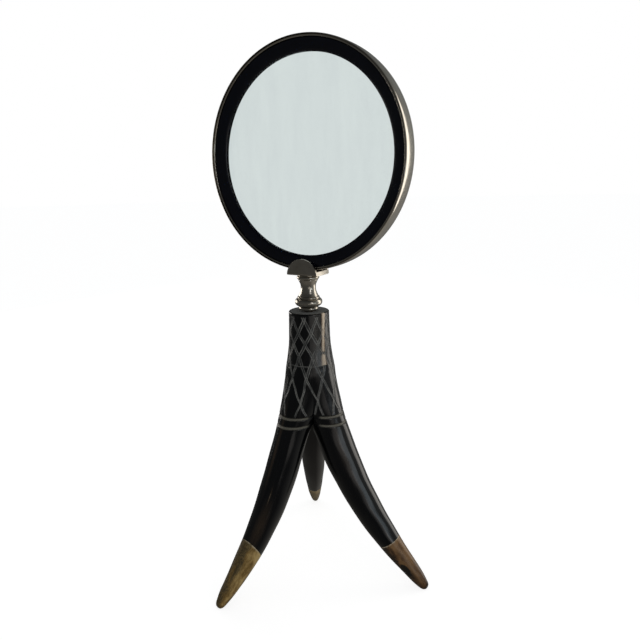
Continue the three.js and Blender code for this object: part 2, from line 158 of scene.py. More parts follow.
# The line that the horns follow: distance from the stand's axis, height, and radius there.
HORN_LINE = [
    [-1.5, 182, 15], [-0.1, 166.5, 17.1], [0.8, 159, 17.7], [4.6, 147, 16.5], [9.9, 133, 15.2],
    [15.9, 118, 14], [25.2, 94, 13.7], [33.2, 77, 12.4], [42, 60, 11.3], [51.8, 44, 10],
    [62.8, 29, 8.5], [75, 14.8, 6.5], [81.2, 8, 5.4], [85, 3.8, 4.2], [86.7, 2.1, 3.5],
    [88, 0.8, 2.2], [88.6, 0.2, 0],
]

# The carved lattice: two families of lines cross on each row, half a diamond further round than on
# the row above. Each entry is a height, its row, and how far the lattice has drifted round, in degrees.
LATTICE = [
    [206, -0.6, 0], [199.9, 0, 0], [190, 1, 1.5], [182, 2, 2.7], [172.7, 3, 4.6], [158, 4, 6.5],
    [140.5, 5, 12], [120, 6, 14], [100, 7, 14],
]
DIAMOND_ANGLE = math.radians(36)
LATTICE_START = math.radians(285.7)
LATTICE_HALF_WIDTHS = [[145, 0.55], [170, 1.0]]  # thin lines on the legs, bands on the collar
LATTICE_DEPTH = 0.32
SCORE_PLACE = 0.72  # each line has a deeper score along both edges, at this share of its half width
SCORE_WIDTH = 0.2
LATTICE_END = 129.8  # the lattice stops above the level grooves
SHORT_LINE = -3  # of the lines that lean this way, one stops just below the joint
SHORT_LINE_END = 161.0
SHORT_LINE_FADE = 4.0
JOINT_LINE = 0.6  # how light the edges of the joint between collar and legs are
JOINT_LINE_WIDTH = 0.35

# How finely the horn is built: rows and columns of points, and the steps between rows.
LEG_ABOVE_JOINT = 9.5  # how far a leg is built past its joint and its seam, before they cut it
PAST_SEAM = 14.0
TIP_ABOVE_SEAM = 16.0
HORN_END = -1.0  # a height below every horn's end
LEG_COLUMNS, LEG_STEP = 300, 0.36
TIP_COLUMNS, TIP_STEP = 160, 0.5
COARSE_STEP = 0.9  # below the carving
FINE_BELOW_GROOVES = 10.0  # a leg's rows stay close together this far below the last groove
TIP_END_ROWS = 60  # the last rows of the horn's line, where a tip closes
TIP_END_STEP = 6
COLLAR_ROWS, COLLAR_COLUMNS = 260, 320
COLLAR_TOP_STEP = 0.4

# ---- Curves and surfaces ----


def smooth_line(points, count):
    """count + 1 rows on a centripetal Catmull-Rom curve, evenly placed between its points."""
    points = np.asarray(points, float)
    padded = np.vstack([2 * points[0] - points[1], points, 2 * points[-1] - points[-2]])
    place = np.linspace(0, len(points) - 1, count + 1)
    span = np.minimum(place.astype(int), len(points) - 2)
    t = (place - span)[:, None]
    x0, x1, x2, x3 = (padded[span + k] for k in range(4))
    d0, d1, d2 = (knot_step(a, b) for a, b in ((x0, x1), (x1, x2), (x2, x3)))
    leave = ((x1 - x0) / d0 - (x2 - x0) / (d0 + d1) + (x2 - x1) / d1) * d1
    arrive = ((x2 - x1) / d1 - (x3 - x1) / (d1 + d2) + (x3 - x2) / d2) * d1
    square = -3 * x1 + 3 * x2 - 2 * leave - arrive
    cube = 2 * x1 - 2 * x2 + leave + arrive
    return x1 + leave * t + square * t**2 + cube * t**3


def knot_step(a, b):
    """The centripetal length of each step of a curve."""
    return np.maximum(np.linalg.norm(b - a, axis=1, keepdims=True), 1e-9) ** 0.5


def wrapped(turn):
    """Angles brought within half a turn of zero."""
    return (turn + math.pi) % (2 * math.pi) - math.pi


def arc(radius, height, size, start, end, steps):
    """Points (radius, height) of a profile on an arc, at angles in degrees from the outward way."""
    angle = np.radians(np.linspace(start, end, steps + 1))
    return [[radius + size * math.cos(a), height + size * math.sin(a)] for a in angle]


def eased(profile, size, steps=3):
    """A closed profile with each corner rounded off, size from its point."""
    points = np.asarray(profile, float)
    made = []
    for i, corner in enumerate(points):
        ends = []
        for other in (points[i - 1], points[(i + 1) % len(points)]):
            away = other - corner
            ends.append(corner + away * min(size / np.linalg.norm(away), 0.45))
        for t in np.linspace(0, 1, steps + 1):
            made.append((1 - t) ** 2 * ends[0] + 2 * t * (1 - t) * corner + t**2 * ends[1])
    return made


def turned(profile, segments):
    """A profile of (radius, height) turned about Z, as rows of points."""
    profile = np.asarray(profile, float)
    turn = np.linspace(0, 2 * math.pi, segments, endpoint=False)
    radius, height = profile[:, :1], profile[:, 1:]
    return np.stack([radius * np.cos(turn), radius * np.sin(turn), height + 0 * turn], axis=-1)


def hoop(profile, segments=288):
    """A profile of (radius, depth) turned about the ring's own axis, which runs along Y."""
    x, z, y = np.moveaxis(turned(profile, segments), -1, 0)
    return np.stack([x, y, z], axis=-1) + RING_CENTRE


def grid_faces(rows, columns, wrap):
    """The quads of a grid of points whose columns wrap round, and whose rows do too if wrap is set."""
    index = np.arange(rows * columns).reshape(rows, columns)
    below = index if wrap else index[:-1]
    above = np.roll(index, -1, axis=0) if wrap else index[1:]
    corners = [below, np.roll(below, -1, axis=1), np.roll(above, -1, axis=1), above]
    return np.stack(corners, axis=-1).reshape(-1, 4)


def grid_mesh(rows, wrap=False, **attributes):
    """A bmesh of a grid of points in millimetres. Each attribute holds a value for every point."""
    points = rows.reshape(-1, 3)
    mesh = bpy.data.meshes.new("grid")
    mesh.from_pydata(points.tolist(), [], grid_faces(len(rows), rows.shape[1], wrap).tolist())
    for name, values in attributes.items():
        kind, field = ("FLOAT_VECTOR", "vector") if values.ndim == 3 else ("FLOAT", "value")
        layer = mesh.attributes.new(name, kind, "POINT")
        layer.data.foreach_set(field, values.astype(np.float32).ravel())
    made = bmesh.new()
    made.from_mesh(mesh)
    bpy.data.meshes.remove(mesh)
    bmesh.ops.remove_doubles(made, verts=made.verts, dist=1e-4)
    return made


def scene_object(name, made):
    """A new object in the scene from a bmesh, which is used up."""
    mesh = bpy.data.meshes.new(name)
    made.to_mesh(mesh)
    made.free()
    shown = bpy.data.objects.new(name, mesh)
    bpy.context.scene.collection.objects.link(shown)
    return shown


def new_piece(name, made, body, nodes, material, sharp=35):
    """A shown object from a bmesh in millimetres, which stands for CAD nodes and rides on a body."""
    bmesh.ops.recalc_face_normals(made, faces=made.faces)
    made.transform(Matrix.Translation(AXIS) @ Matrix.Scale(MM, 4))
    shown = scene_object(name, made)
    shown.data.polygons.foreach_set("use_smooth", [True] * len(shown.data.polygons))
    shown.data.set_sharp_from_angle(angle=math.radians(sharp))
    shown.data.materials.append(material)
    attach(shown, body)
    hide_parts(*nodes)
    return shown


# ---- Cutting horn ----


def cut(made, point, normal, holes=()):
    """Removes what lies past a plane and closes the cut, with round holes drilled in its face. Each
    hole is (centre, way in, radius, depth)."""
    everything = made.verts[:] + made.edges[:] + made.faces[:]
    sliced = bmesh.ops.bisect_plane(
        made, geom=everything, plane_co=point, plane_no=normal, clear_outer=True, dist=1e-6
    )
    rim = [item for item in sliced["geom_cut"] if isinstance(item, bmesh.types.BMEdge)]
    for hole in holes:
        rim += drill(made, Vector(point), Vector(normal), *hole)
    bmesh.ops.triangle_fill(made, edges=rim, normal=normal, use_beauty=True)


def drill(made, point, normal, centre, way, radius, depth, sides=24):
    """The wall and end of a round hole that starts in a plane. Returns the edges at its mouth."""
    way = Vector(way).normalized()
    across = way.orthogonal().normalized()
    beside = way.cross(across)
    mouth, end = [], []
    for k in range(sides):
        turn = 2 * math.pi * k / sides
        spot = Vector(centre) + (across * math.cos(turn) + beside * math.sin(turn)) * radius
        reach = (point - spot).dot(normal) / way.dot(normal)
        mouth.append(made.verts.new(spot + way * reach))
        end.append(made.verts.new(spot + way * depth))
    bridge(made, mouth, end)
    return [made.edges.get([mouth[k], mouth[k - 1]]) for k in range(sides)]


def bridge(made, first, second):
    """The wall between two closed rows of vertices, and a face over the second."""
    for k in range(len(first)):
        made.faces.new([first[k - 1], first[k], second[k], second[k - 1]])
    made.faces.new(second)


def channel(distance, half_width):
    """How deep a flat-bottomed channel is at a distance from its middle, from 0 to 1."""
    return np.clip((half_width - np.abs(distance)) / (0.45 * half_width), 0, 1)


def lattice_at(z):
    """The lattice's row, and how far it has drifted round, at a height."""
    heights, rows, drift = np.array(LATTICE[::-1]).T
    return np.interp(z, heights, rows), np.radians(np.interp(z, heights, drift))


def lattice(x, y, z):
    """The carved lattice at points about the stand's axis: its depth, and how near a cut's edge is."""
    row, drift = lattice_at(z)
    turn = (np.arctan2(y, x) - LATTICE_START - drift) / DIAMOND_ANGLE
    spacing = line_spacing(np.hypot(x, y), z)
    half_width = np.interp(z, *np.array(LATTICE_HALF_WIDTHS).T)
    depth, edge = np.zeros_like(z), np.zeros_like(z)
    for way in (1, -1):
        phase = turn + way * row / 2
        line = np.round(phase)
        off = (phase - line + wander(line, z, way)) * spacing
        width = half_width * (1 + 0.15 * np.sin(1.7 * line + 0.13 * z))
        scored = np.exp(-(((np.abs(off) - SCORE_PLACE * width) / SCORE_WIDTH) ** 2))
        shown = where_cut(line, z, way)
        depth = np.maximum(depth, shown * (0.6 * channel(off, width) + 0.4 * scored))
        edge = np.maximum(edge, shown * scored)
    return depth, edge


def line_spacing(reach, z):
    """How far apart the lines of one family are, square to them, at a distance from the axis."""
    rows_per_mm = lattice_at(z - 0.5)[0] - lattice_at(z + 0.5)[0]
    slant = np.arctan(rows_per_mm * DIAMOND_ANGLE / 2 * reach)
    return DIAMOND_ANGLE * reach * np.cos(slant)


def wander(line, z, way):
    """How far a hand-cut line strays from its place, as a share of the spacing."""
    return 0.022 * np.sin(2.4 * line + 0.21 * z * way) + 0.012 * np.sin(5.1 * line + 0.6 * z)


def where_cut(line, z, way):
    """1 where a line is cut and 0 where it isn't: one line stops short of the others."""
    short = (way == -1) & (line == SHORT_LINE)
    return np.where(short, np.clip((z - SHORT_LINE_END) / SHORT_LINE_FADE, 0, 1), 1)


def joint_edge(z):
    """How light the edge of the joint between the collar and the legs makes the horn, at a height."""
    return JOINT_LINE * np.exp(-(((z - COLLAR_JOINT) / JOINT_LINE_WIDTH) ** 2))


# ---- The horn legs, tips and collar ----


def horn_line(leg, count=3000):
    """The horn's centre line for one leg: rows of reach, height and radius."""
    points = []
    for reach, height, radius in HORN_LINE:
        rise = math.pi * min(height / COLLAR_JOINT, 1)
        offset = leg["bow"] * math.sin(rise) ** 2 + leg["sway"] * math.sin(2 * rise)
        slimming = radius * leg["taper"] * (1 - rise / math.pi)
        hollow = leg["hollow"] / 2 * math.exp(-(((height - HOLLOW_HEIGHT) / HOLLOW_SPREAD) ** 2))
        outwards = reach * leg["reach"] / FOOT_REACH + offset + hollow
        points.append([outwards, height - slimming, radius - slimming - hollow])
    return smooth_line(points, count)


def horn_axes(leg, line):
    """For every row of the line: its centre, the way along it, its outer face, and its side."""
    azimuth = math.radians(leg["azimuth"])
    outward = np.array([math.cos(azimuth), math.sin(azimuth), 0.0])
    up = np.array([0.0, 0.0, 1.0])
    side = np.cross(up, outward)
    slope = np.gradient(line[:, :2], axis=0)
    slope /= np.linalg.norm(slope, axis=1, keepdims=True)
    centre = line[:, :1] * outward + line[:, 1:2] * up
    along = slope[:, :1] * outward + slope[:, 1:] * up
    return centre, along, np.cross(along, side), side


def horn_rows(line, travelled, first, last, fine):
    """The rows of a horn's line to build on, between two heights, down to its end if last is HORN_END.
    They are closest where the horn is carved."""
    carved = (line[:, 1] < first) & (line[:, 1] > LEG_GROOVES[-1] - FINE_BELOW_GROOVES)
    ticks = np.cumsum(np.gradient(travelled) / np.where(carved, fine, COARSE_STEP))
    chosen = np.searchsorted(ticks, np.arange(0, ticks[-1], 1.0))
    chosen = chosen[(line[chosen, 1] <= first) & (line[chosen, 1] >= last)]
    if last > HORN_END:
        return chosen
    end = np.arange(len(line) - TIP_END_ROWS, len(line), TIP_END_STEP)
    return np.unique(np.concatenate([chosen, end, [len(line) - 1]]))


def horn_surface(leg, first, last, columns, fine):
    """A horn between two heights as rows of points, and what its material needs to know at each."""
    line = horn_line(leg)
    centre, _, outer, side = horn_axes(leg, line)
    travelled = np.concatenate([[0], np.cumsum(np.linalg.norm(np.diff(centre, axis=0), axis=1))])
    chosen = horn_rows(line, travelled, first, last, fine)
    centre, outer, travelled = centre[chosen, None], outer[chosen, None], travelled[chosen, None]
    turn = np.linspace(0, 2 * math.pi, columns, endpoint=False)
    radial = outer * np.cos(turn)[:, None] + side * np.sin(turn)[:, None]
    radius = np.maximum(line[chosen, 2], 0)[:, None] + 0 * turn
    depth, edge, groove = carving(centre + radial * radius[..., None])
    sunk = LATTICE_DEPTH * depth + LEG_GROOVE_DEPTH * groove + SWELLING_DEPTH * swelling(travelled, turn)
    sunk = sunk * np.clip(radius / SLIM_RADIUS, 0, 1)
    points = centre + radial * (radius - sunk)[..., None]
    grain = [radius * np.cos(turn), radius * np.sin(turn), travelled + 0 * turn]
    return {
        "rows": points, "seam": seam_distance(leg, points), "carved": depth, "groove": groove,
        "edge": edge, "grain": np.stack(grain, axis=-1), "shown_groove": groove * scraped_part(leg, points),
        "pale": patches(line[chosen, 1:2], turn, radius, leg["marks"]),
        "blotch": patches(line[chosen, 1:2], turn, radius, leg["blotches"]),
    }


def scraped_part(leg, points):
    """Where the level grooves are scraped bright, from 0 to 1: all but close to the next leg."""
    x, y, _ = np.moveaxis(points, -1, 0)
    turn = wrapped(np.arctan2(y, x) - math.radians(leg["azimuth"]))
    to_mitre = np.hypot(x, y) * np.sin(np.maximum(math.radians(NARROWEST_SECTOR) - np.abs(turn), 0))
    return np.clip((to_mitre - 2.5) / 2, 0, 1)


def patches(heights, turn, radius, spots):
    """How strongly the soft spots of one kind in LEGS show on a horn, from 0 to 1."""
    shown = np.zeros_like(radius)
    for height, middle, half_length, half_width, strength in spots:
        across = wrapped(turn - math.radians(middle)) * radius / half_width
        lengthwise = (heights - height) / half_length
        shown = np.maximum(shown, strength * np.exp(-(lengthwise**2) - across**2))
    return shown


def carving(skin):
    """How deep the lattice is in a horn's skin, how near a cut's edge is, and how deep the level
    grooves are, each from 0 to 1."""
    x, y, z = np.moveaxis(skin, -1, 0)
    depth, edge = lattice(x, y, z)
    stop = np.clip((z - LATTICE_END) / 1.5, 0, 1)
    groove = sum(channel(z - height, LEG_GROOVE_HALF_WIDTH) for height in LEG_GROOVES)
    return depth * stop, np.maximum(edge * stop, joint_edge(z)), groove


def swelling(travelled, turn):
    """The slow unevenness of a natural horn, from -1 to 1."""
    return (np.sin(0.11 * travelled + 2 * turn) + np.sin(0.23 * travelled - 3 * turn + 1.0)) / 2


def mitres(leg):
    """The planes between a leg and its two neighbours, each as (a point, the way out)."""
    turns = [(other["azimuth"] - leg["azimuth"]) % 360 for other in LEGS.values() if other is not leg]
    planes = []
    for turn, way in ((min(turns) / 2, 1), (max(turns) / 2 - 180, -1)):
        angle = math.radians(leg["azimuth"] + turn)
        normal = Vector((-math.sin(angle), math.cos(angle), 0)) * way
        planes.append((normal * -SEAM_GAP / 2, normal))
    return planes


def seam_plane(leg):
    """The plane between a leg and its tip: its middle, the way to the foot, and the horn's own way."""
    line = horn_line(leg)
    centre, along, outer, side = horn_axes(leg, line)
    row = int(np.argmin(np.abs(line[:, 1] - leg["seam"])))
    normal = along[row] + outer[row] * leg["lean"] + side * leg["slope"]
    return Vector(centre[row]), Vector(normal).normalized(), Vector(along[row])


def seam_distance(leg, points):
    """How far points lie past the seam, towards the foot."""
    middle, normal, _ = seam_plane(leg)
    return (points - np.array(middle)) @ np.array(normal)


def horn_mesh(leg, first, last, columns, fine):
    """A closed bmesh of a horn between two heights."""
    made = grid_mesh(**horn_surface(leg, first, last, columns, fine))
    loose = [edge for edge in made.edges if edge.is_boundary]
    if loose:
        bmesh.ops.holes_fill(made, edges=loose, sides=0)
    return made


def cut_seam(made, leg, facing):
    """Cuts a horn at its seam, with the dowel's hole in the cut. Facing is 1 for a leg, -1 for a tip."""
    middle, normal, along = seam_plane(leg)
    hole = (middle, along * -facing, TIP_DOWEL_HOLE["radius"], TIP_DOWEL_HOLE["depth"])
    cut(made, middle - normal * facing * SEAM_GAP / 2, normal * facing, [hole])


def joint_hole(leg, height, way):
    """The hole for the dowel between a leg and the collar, from a height up (1) or down (-1)."""
    azimuth, reach = math.radians(leg["azimuth"]), JOINT_DOWEL_HOLE["reach"]
    centre = Vector((reach * math.cos(azimuth), reach * math.sin(azimuth), height))
    return centre, (0, 0, way), JOINT_DOWEL_HOLE["radius"], JOINT_DOWEL_HOLE["depth"]


def build_leg(side, leg, material):
    made = horn_mesh(leg, COLLAR_JOINT + LEG_ABOVE_JOINT, leg["seam"] - PAST_SEAM, LEG_COLUMNS, LEG_STEP)
    for point, normal in mitres(leg):
        cut(made, point, normal)
    top = COLLAR_JOINT - SEAM_GAP
    cut(made, Vector((0, 0, top)), Vector((0, 0, 1)), [joint_hole(leg, top, -1)])
    cut_seam(made, leg, 1)
    new_piece("horn_leg_" + side, made, "stand", ["leg_" + side], material)


def build_tip(side, leg, material):
    made = horn_mesh(leg, leg["seam"] + TIP_ABOVE_SEAM, HORN_END, TIP_COLUMNS, TIP_STEP)
    cut_seam(made, leg, -1)
    cut(made, Vector((0, 0, 0)), Vector((0, 0, -1)))
    new_piece("horn_tip_" + side, made, "stand", ["tip_" + side], material)


def collar_rows():
    """The collar's skin as rows of points, with 1 for each row on its side, and for each on its top."""
    side = smooth_line(COLLAR_FLARE, COLLAR_ROWS)
    middle = COLLAR_TOP_RADIUS - COLLAR_EDGE_ROUNDING
    edge = arc(middle, COLLAR_TOP - COLLAR_EDGE_ROUNDING, COLLAR_EDGE_ROUNDING, 8, 90, 6)
    inwards = np.arange(middle - COLLAR_TOP_STEP, INSERT_HOLE_RADIUS + COLLAR_TOP_STEP / 2, -COLLAR_TOP_STEP)
    top = [[radius, COLLAR_TOP] for radius in inwards]
    bottom = INSERT_HOLE_BOTTOM
    bore = [[INSERT_HOLE_RADIUS, COLLAR_TOP], [INSERT_HOLE_RADIUS, bottom], [0, bottom]]
    counts = [len(side), len(edge), len(top), len(bore)]
    on_side, on_top = (np.repeat(share, counts)[:, None] for share in ([1, 0, 0, 0], [0, 0, 1, 0]))
    return turned([*side, *edge, *top, *bore], COLLAR_COLUMNS), on_side, on_top


def build_collar(material):
    rows, on_side, on_top = collar_rows()
    x, y, z = np.moveaxis(rows, -1, 0)
    shown = on_side * np.clip((COLLAR_TOP - 1.6 - z) / 1.2, 0, 1)
    depth, edge = (shown * value for value in lattice(x, y, z))
    inwards = LATTICE_DEPTH * depth / np.maximum(np.hypot(x, y), 1e-6)
    saw_marks = SAW_MARK_DEPTH * on_top * (1 + np.sin(2.2 * x + 0.9 * np.sin(0.5 * y)))
    azimuth = np.degrees(np.arctan2(y, x))
    made = grid_mesh(
        np.stack([x - x * inwards, y - y * inwards, z - saw_marks], axis=-1),
        carved=depth,
        edge=np.maximum(edge, joint_edge(z)),
        grain=np.stack([x, y, COLLAR_TOP - z], axis=-1),
        pale=collar_streak(x, y, z),
        # painted sheen: how strongly a brownish reflection of the lights is painted at each point
        brownish=np.exp(-(((azimuth - PAINTED_SHEEN_SIDE) / PAINTED_SHEEN_SPREAD) ** 2)),
        sawn=on_top + 0 * x,
    )
    holes = [joint_hole(leg, COLLAR_JOINT, 1) for leg in LEGS.values()]
    cut(made, Vector((0, 0, COLLAR_JOINT + 0.01)), Vector((0, 0, -1)), holes)
    new_piece("carved_collar", made, "stand", ["horn_collar"], material)


def collar_streak(x, y, z):
    """The pale streak down the collar, from 0 to 1: it widens at the joint, and breaks once above it."""
    middle, width = (np.radians(np.interp(z, *np.array(t).T)) for t in (STREAK_MIDDLES, STREAK_WIDTHS))
    away = wrapped(np.arctan2(y, x) - middle) / width
    return np.exp(-(away**2)) * (1 - 0.75 * np.exp(-(((z - STREAK_BREAK) / 1.2) ** 2)))


# ---- The lens and its frame ----


def lens_drop(distance):
    """How far a face of the lens falls away from its middle, at a distance from its axis."""
    return LENS_FACE_RADIUS - math.sqrt(LENS_FACE_RADIUS**2 - distance**2)


def lens_face(distance):
    """How far a face of the lens stands from its middle plane, at a distance from its axis."""
    return LENS_EDGE_THICKNESS / 2 + lens_drop(LENS_RADIUS) - lens_drop(distance)


def build_lens(material):
    reach = np.linspace(0, LENS_RADIUS - 0.3, 40)
    front = [[r, -lens_face(r)] for r in reach]
    rear = [[r, lens_face(r)] for r in reach[::-1]]
    edge = [[LENS_RADIUS, -0.8], [LENS_RADIUS, 0.8]]
    made = grid_mesh(hoop([*front, *edge, *rear]))
    new_piece("glass_lens", made, "head", ["lens"], material)


def build_horn_ring(side, facing, material):
    lip = lens_face(OPENING_RADIUS) + CLEARANCE
    inner = LENS_RADIUS + CLEARANCE
    outer = BAND_SEAT_RADIUS - SEAM_GAP
    seat = LENS_EDGE_THICKNESS / 2 + CLEARANCE
    profile = [
        [inner, SEAM_GAP / 2], [outer, SEAM_GAP / 2], [outer, BAND_SEAT_HALF_WIDTH], *RING_BEVEL,
        [OPENING_RADIUS + 0.5, lip + 0.95], [OPENING_RADIUS, lip + 0.4], [OPENING_RADIUS, lip],
        [inner, seat],
    ]
    rounded = np.array(eased(profile, 0.3)) * [1, facing]
    made = grid_mesh(hoop(rounded), wrap=True)
    new_piece("bevelled_ring_" + side, made, "head", ["horn_ring_" + side], material)


def build_band(material):
    crown = RING_RADIUS - BAND_EDGE_RADIUS
    outside = []
    for angle in np.radians(np.linspace(-90, 90, 25)):
        out = crown * max(math.cos(angle), 0) ** BAND_SQUARENESS
        across = BAND_HALF_WIDTH * math.copysign(abs(math.sin(angle)) ** BAND_SQUARENESS, angle)
        outside.append([BAND_EDGE_RADIUS + out, across])
    inside = [
        [BAND_EDGE_RADIUS, BAND_SEAT_HALF_WIDTH], [BAND_SEAT_RADIUS, BAND_SEAT_HALF_WIDTH],
        [BAND_SEAT_RADIUS, -BAND_SEAT_HALF_WIDTH], [BAND_EDGE_RADIUS, -BAND_SEAT_HALF_WIDTH],
    ]
    made = grid_mesh(hoop([*outside, *inside], 360), wrap=True)
    new_piece("nickel_band", made, "head", ["bezel_band"], material)


def build_rim(side, facing, material):
    bead = arc(RIM_RADIUS, facing * RIM_OFFSET, RIM_BEAD_RADIUS, 0, 340, 17)
    made = grid_mesh(hoop(bead, 360), wrap=True)
    new_piece("nickel_rim_" + side, made, "head", ["bezel_rim_" + side], material)


# ---- The saddle, neck and ferrule ----


def saddle_section():
    """The folded plate's section across Y, as (depth, height) outside first, then inside."""
    outer, inner = SADDLE_HALF_DEPTH, SADDLE_HALF_DEPTH - SADDLE_PLATE
    floor = SADDLE_BASE + SADDLE_BASE_THICKNESS
    fold = SADDLE_FOLD_RADIUS
    top = SADDLE_BASE + 1.2 * SADDLE_CHEEK_RADIUS
    left = arc(-outer + fold, SADDLE_BASE + fold, fold, 180, 270, 8)
    right = arc(outer - fold, SADDLE_BASE + fold, fold, -90, 0, 8)
    inside = [[inner, top], [inner, floor], [-inner, floor], [-inner, top]]
    return [[-outer, top], *left, *right, [outer, top], *inside]


def folded_plate():
    """A bmesh of the saddle's plate before its outline is cut: its section, run along X."""
    made = bmesh.new()
    half = 1.5 * SADDLE_CHEEK_RADIUS
    ends = [[made.verts.new((x, depth, height)) for depth, height in saddle_section()] for x in (-half, half)]
    bridge(made, *ends)
    made.faces.new(ends[0])
    return made


def saddle_tools():
    """A disc that outlines the saddle's cheeks, and a rod that leaves the stud's hole in its base."""
    disc = upright_cylinder("saddle_outline", SADDLE_CHEEK_RADIUS, 40, 96)
    lifted = Matrix.Translation(Vector((0, 0, SADDLE_BASE - 0.5)) * MM)
    disc.data.transform(lifted @ Matrix.Rotation(math.pi / 2, 4, "X"))
    disc.location = AXIS
    stud = upright_cylinder("stud_hole", STUD_HOLE_RADIUS, 12, 32)
    stud.location = Vector(AXIS) + Vector((0, 0, SADDLE_BASE * MM))
    return disc, stud


def build_saddle(material):
    shown = new_piece("folded_saddle", folded_plate(), "head", ["saddle"], material)
    tools = saddle_tools()
    for tool, operation in zip(tools, ("INTERSECT", "DIFFERENCE")):
        modifier = shown.modifiers.new(operation, "BOOLEAN")
        modifier.operation = operation
        modifier.object = tool
        modifier.solver = "EXACT"
    bevel = shown.modifiers.new("eased_edges", "BEVEL")
    bevel.width = SADDLE_EASING * MM
    bevel.segments = 3
    bevel.limit_method = "ANGLE"
    bevel.angle_limit = math.radians(40)
    bake_modifiers(shown, 30)
    for tool in tools:
        bpy.data.objects.remove(tool)


def upright_cylinder(name, radius, length, sides):
    """A round rod about Z, used only as a cutting tool."""
    made = bmesh.new()
    radius, length = radius * MM, length * MM
    bmesh.ops.create_cone(made, cap_ends=True, segments=sides, radius1=radius, radius2=radius, depth=length)
    return scene_object(name, made)


def bake_modifiers(shown, sharp):
    """Applies an object's modifiers to its mesh."""
    bpy.context.view_layer.update()
    evaluated = shown.evaluated_get(bpy.context.evaluated_depsgraph_get())
    mesh = bpy.data.meshes.new_from_object(evaluated)
    mesh.set_sharp_from_angle(angle=math.radians(sharp))
    shown.modifiers.clear()
    shown.data = mesh


def build_neck(material):
    base = NECK_BASE
    waist = smooth_line([[radius, base + rise] for radius, rise in NECK_WAIST], 28)
    bulb = arc(6.9, base + 2.6, 2.9, -66, 58, 22)
    bead = arc(7.2, base + 5.9, 0.8, -55, 62, 8)
    flange = arc(6.6, base + 20.15, 1.35, -62, 62, 14)
    profile = [
        [STUD_HOLE_RADIUS, base], [6.4, base], *bulb, [7.9, base + 5.05], *bead, *waist,
        [6.95, base + 18.65], *flange, [7.0, base + 21.5], [7.0, NECK_TOP], [STUD_HOLE_RADIUS, NECK_TOP],
    ]
    made = grid_mesh(turned(profile, 144), wrap=True)
    new_piece("turned_neck", made, "head", ["neck"], material, sharp=28)


def build_ferrule(material):
    middle = (FERRULE_BASE + FERRULE_TOP) / 2
    bead = arc(FERRULE_RADIUS - FERRULE_BEAD_RADIUS, middle, FERRULE_BEAD_RADIUS, -80, 80, 16)
    profile = [
        [STUD_HOLE_RADIUS, FERRULE_BASE], [FERRULE_LIP_RADIUS, FERRULE_BASE], *bead,
        [FERRULE_LIP_RADIUS, FERRULE_TOP], [STUD_HOLE_RADIUS, FERRULE_TOP],
    ]
    made = grid_mesh(turned(profile, 128), wrap=True)
    new_piece("bead_ferrule", made, "stand", ["collar_ferrule"], material)


# ---- Materials ----


class NodeTree:
    """Makes the nodes of a material or a world. Each input is a value or another node's output."""

    def __init__(self, tree):
        self.nodes, self.links = tree.nodes, tree.links

    def node(self, kind, inputs=(), **settings):
        made = self.nodes.new(kind)
        for name, value in settings.items():
            setattr(made, name, value)
        for name, value in dict(inputs).items():
            self.join(value, made.inputs[name])
        return made

    def join(self, value, socket):
        if isinstance(value, bpy.types.NodeSocket):
            self.links.new(value, socket)
        else:
            socket.default_value = value

    def ramp(self, factor, stops):
        made = self.node("ShaderNodeValToRGB", {"Fac": factor})
        elements = made.color_ramp.elements
        while len(elements) < len(stops):
            elements.new(0.5)
        for element, (place, colour) in zip(elements, stops):
            element.position, element.color = place, (*colour, 1)
        return made.outputs["Color"]

    def range(self, value, from_low, from_high, low, high):
        inputs = {"Value": value, "From Min": from_low, "From Max": from_high, "To Min": low, "To Max": high}
        return self.node("ShaderNodeMapRange", inputs).outputs["Result"]

    def math(self, operation, a, b):
        return self.node("ShaderNodeMath", {0: a, 1: b}, operation=operation).outputs[0]

    def times(self, a, b):
        return self.math("MULTIPLY", a, b)

    def along(self, vector, way):
        """How far vectors reach along a way."""
        made = self.node("ShaderNodeVectorMath", {0: vector, 1: way}, operation="DOT_PRODUCT")
        return made.outputs["Value"]


class Surface(NodeTree):
    """A node material about one Principled shader. Coordinates are in millimetres."""

    def __init__(self, name):
        self.material = bpy.data.materials.new(name)
        self.material.use_nodes = True
        super().__init__(self.material.node_tree)
        self.shader = self.nodes["Principled BSDF"]
        self.bump_end = None

    def set(self, **inputs):
        for name, value in inputs.items():
            self.join(value, self.shader.inputs[name.replace("_", " ")])

    def object_space(self, scale=(1, 1, 1)):
        place = self.node("ShaderNodeTexCoord").outputs["Object"]
        return self.stretched(place, [1000 * s for s in scale])

    def attribute(self, name, output="Fac"):
        return self.node("ShaderNodeAttribute", attribute_name=name).outputs[output]

    def stretched(self, vector, scale):
        return self.node("ShaderNodeMapping", {"Vector": vector, "Scale": scale}).outputs["Vector"]

    def noise(self, vector, scale, detail=4.0, roughness=0.55):
        inputs = {"Vector": vector, "Scale": scale, "Detail": detail, "Roughness": roughness}
        return self.node("ShaderNodeTexNoise", inputs).outputs["Fac"]

    def mix(self, factor, a, b):
        made = self.node("ShaderNodeMix", data_type="RGBA")
        for socket, value in ((made.inputs[0], factor), (made.inputs[6], a), (made.inputs[7], b)):
            self.join((*value, 1) if isinstance(value, tuple) and len(value) == 3 else value, socket)
        return made.outputs[2]

    def bump(self, height, strength, depth):
        """Adds relief of a depth in millimetres."""
        inputs = {"Height": height, "Strength": strength, "Distance": depth * MM}
        if self.bump_end is not None:
            inputs["Normal"] = self.bump_end
        self.bump_end = self.node("ShaderNodeBump", inputs).outputs["Normal"]
        self.join(self.bump_end, self.shader.inputs["Normal"])


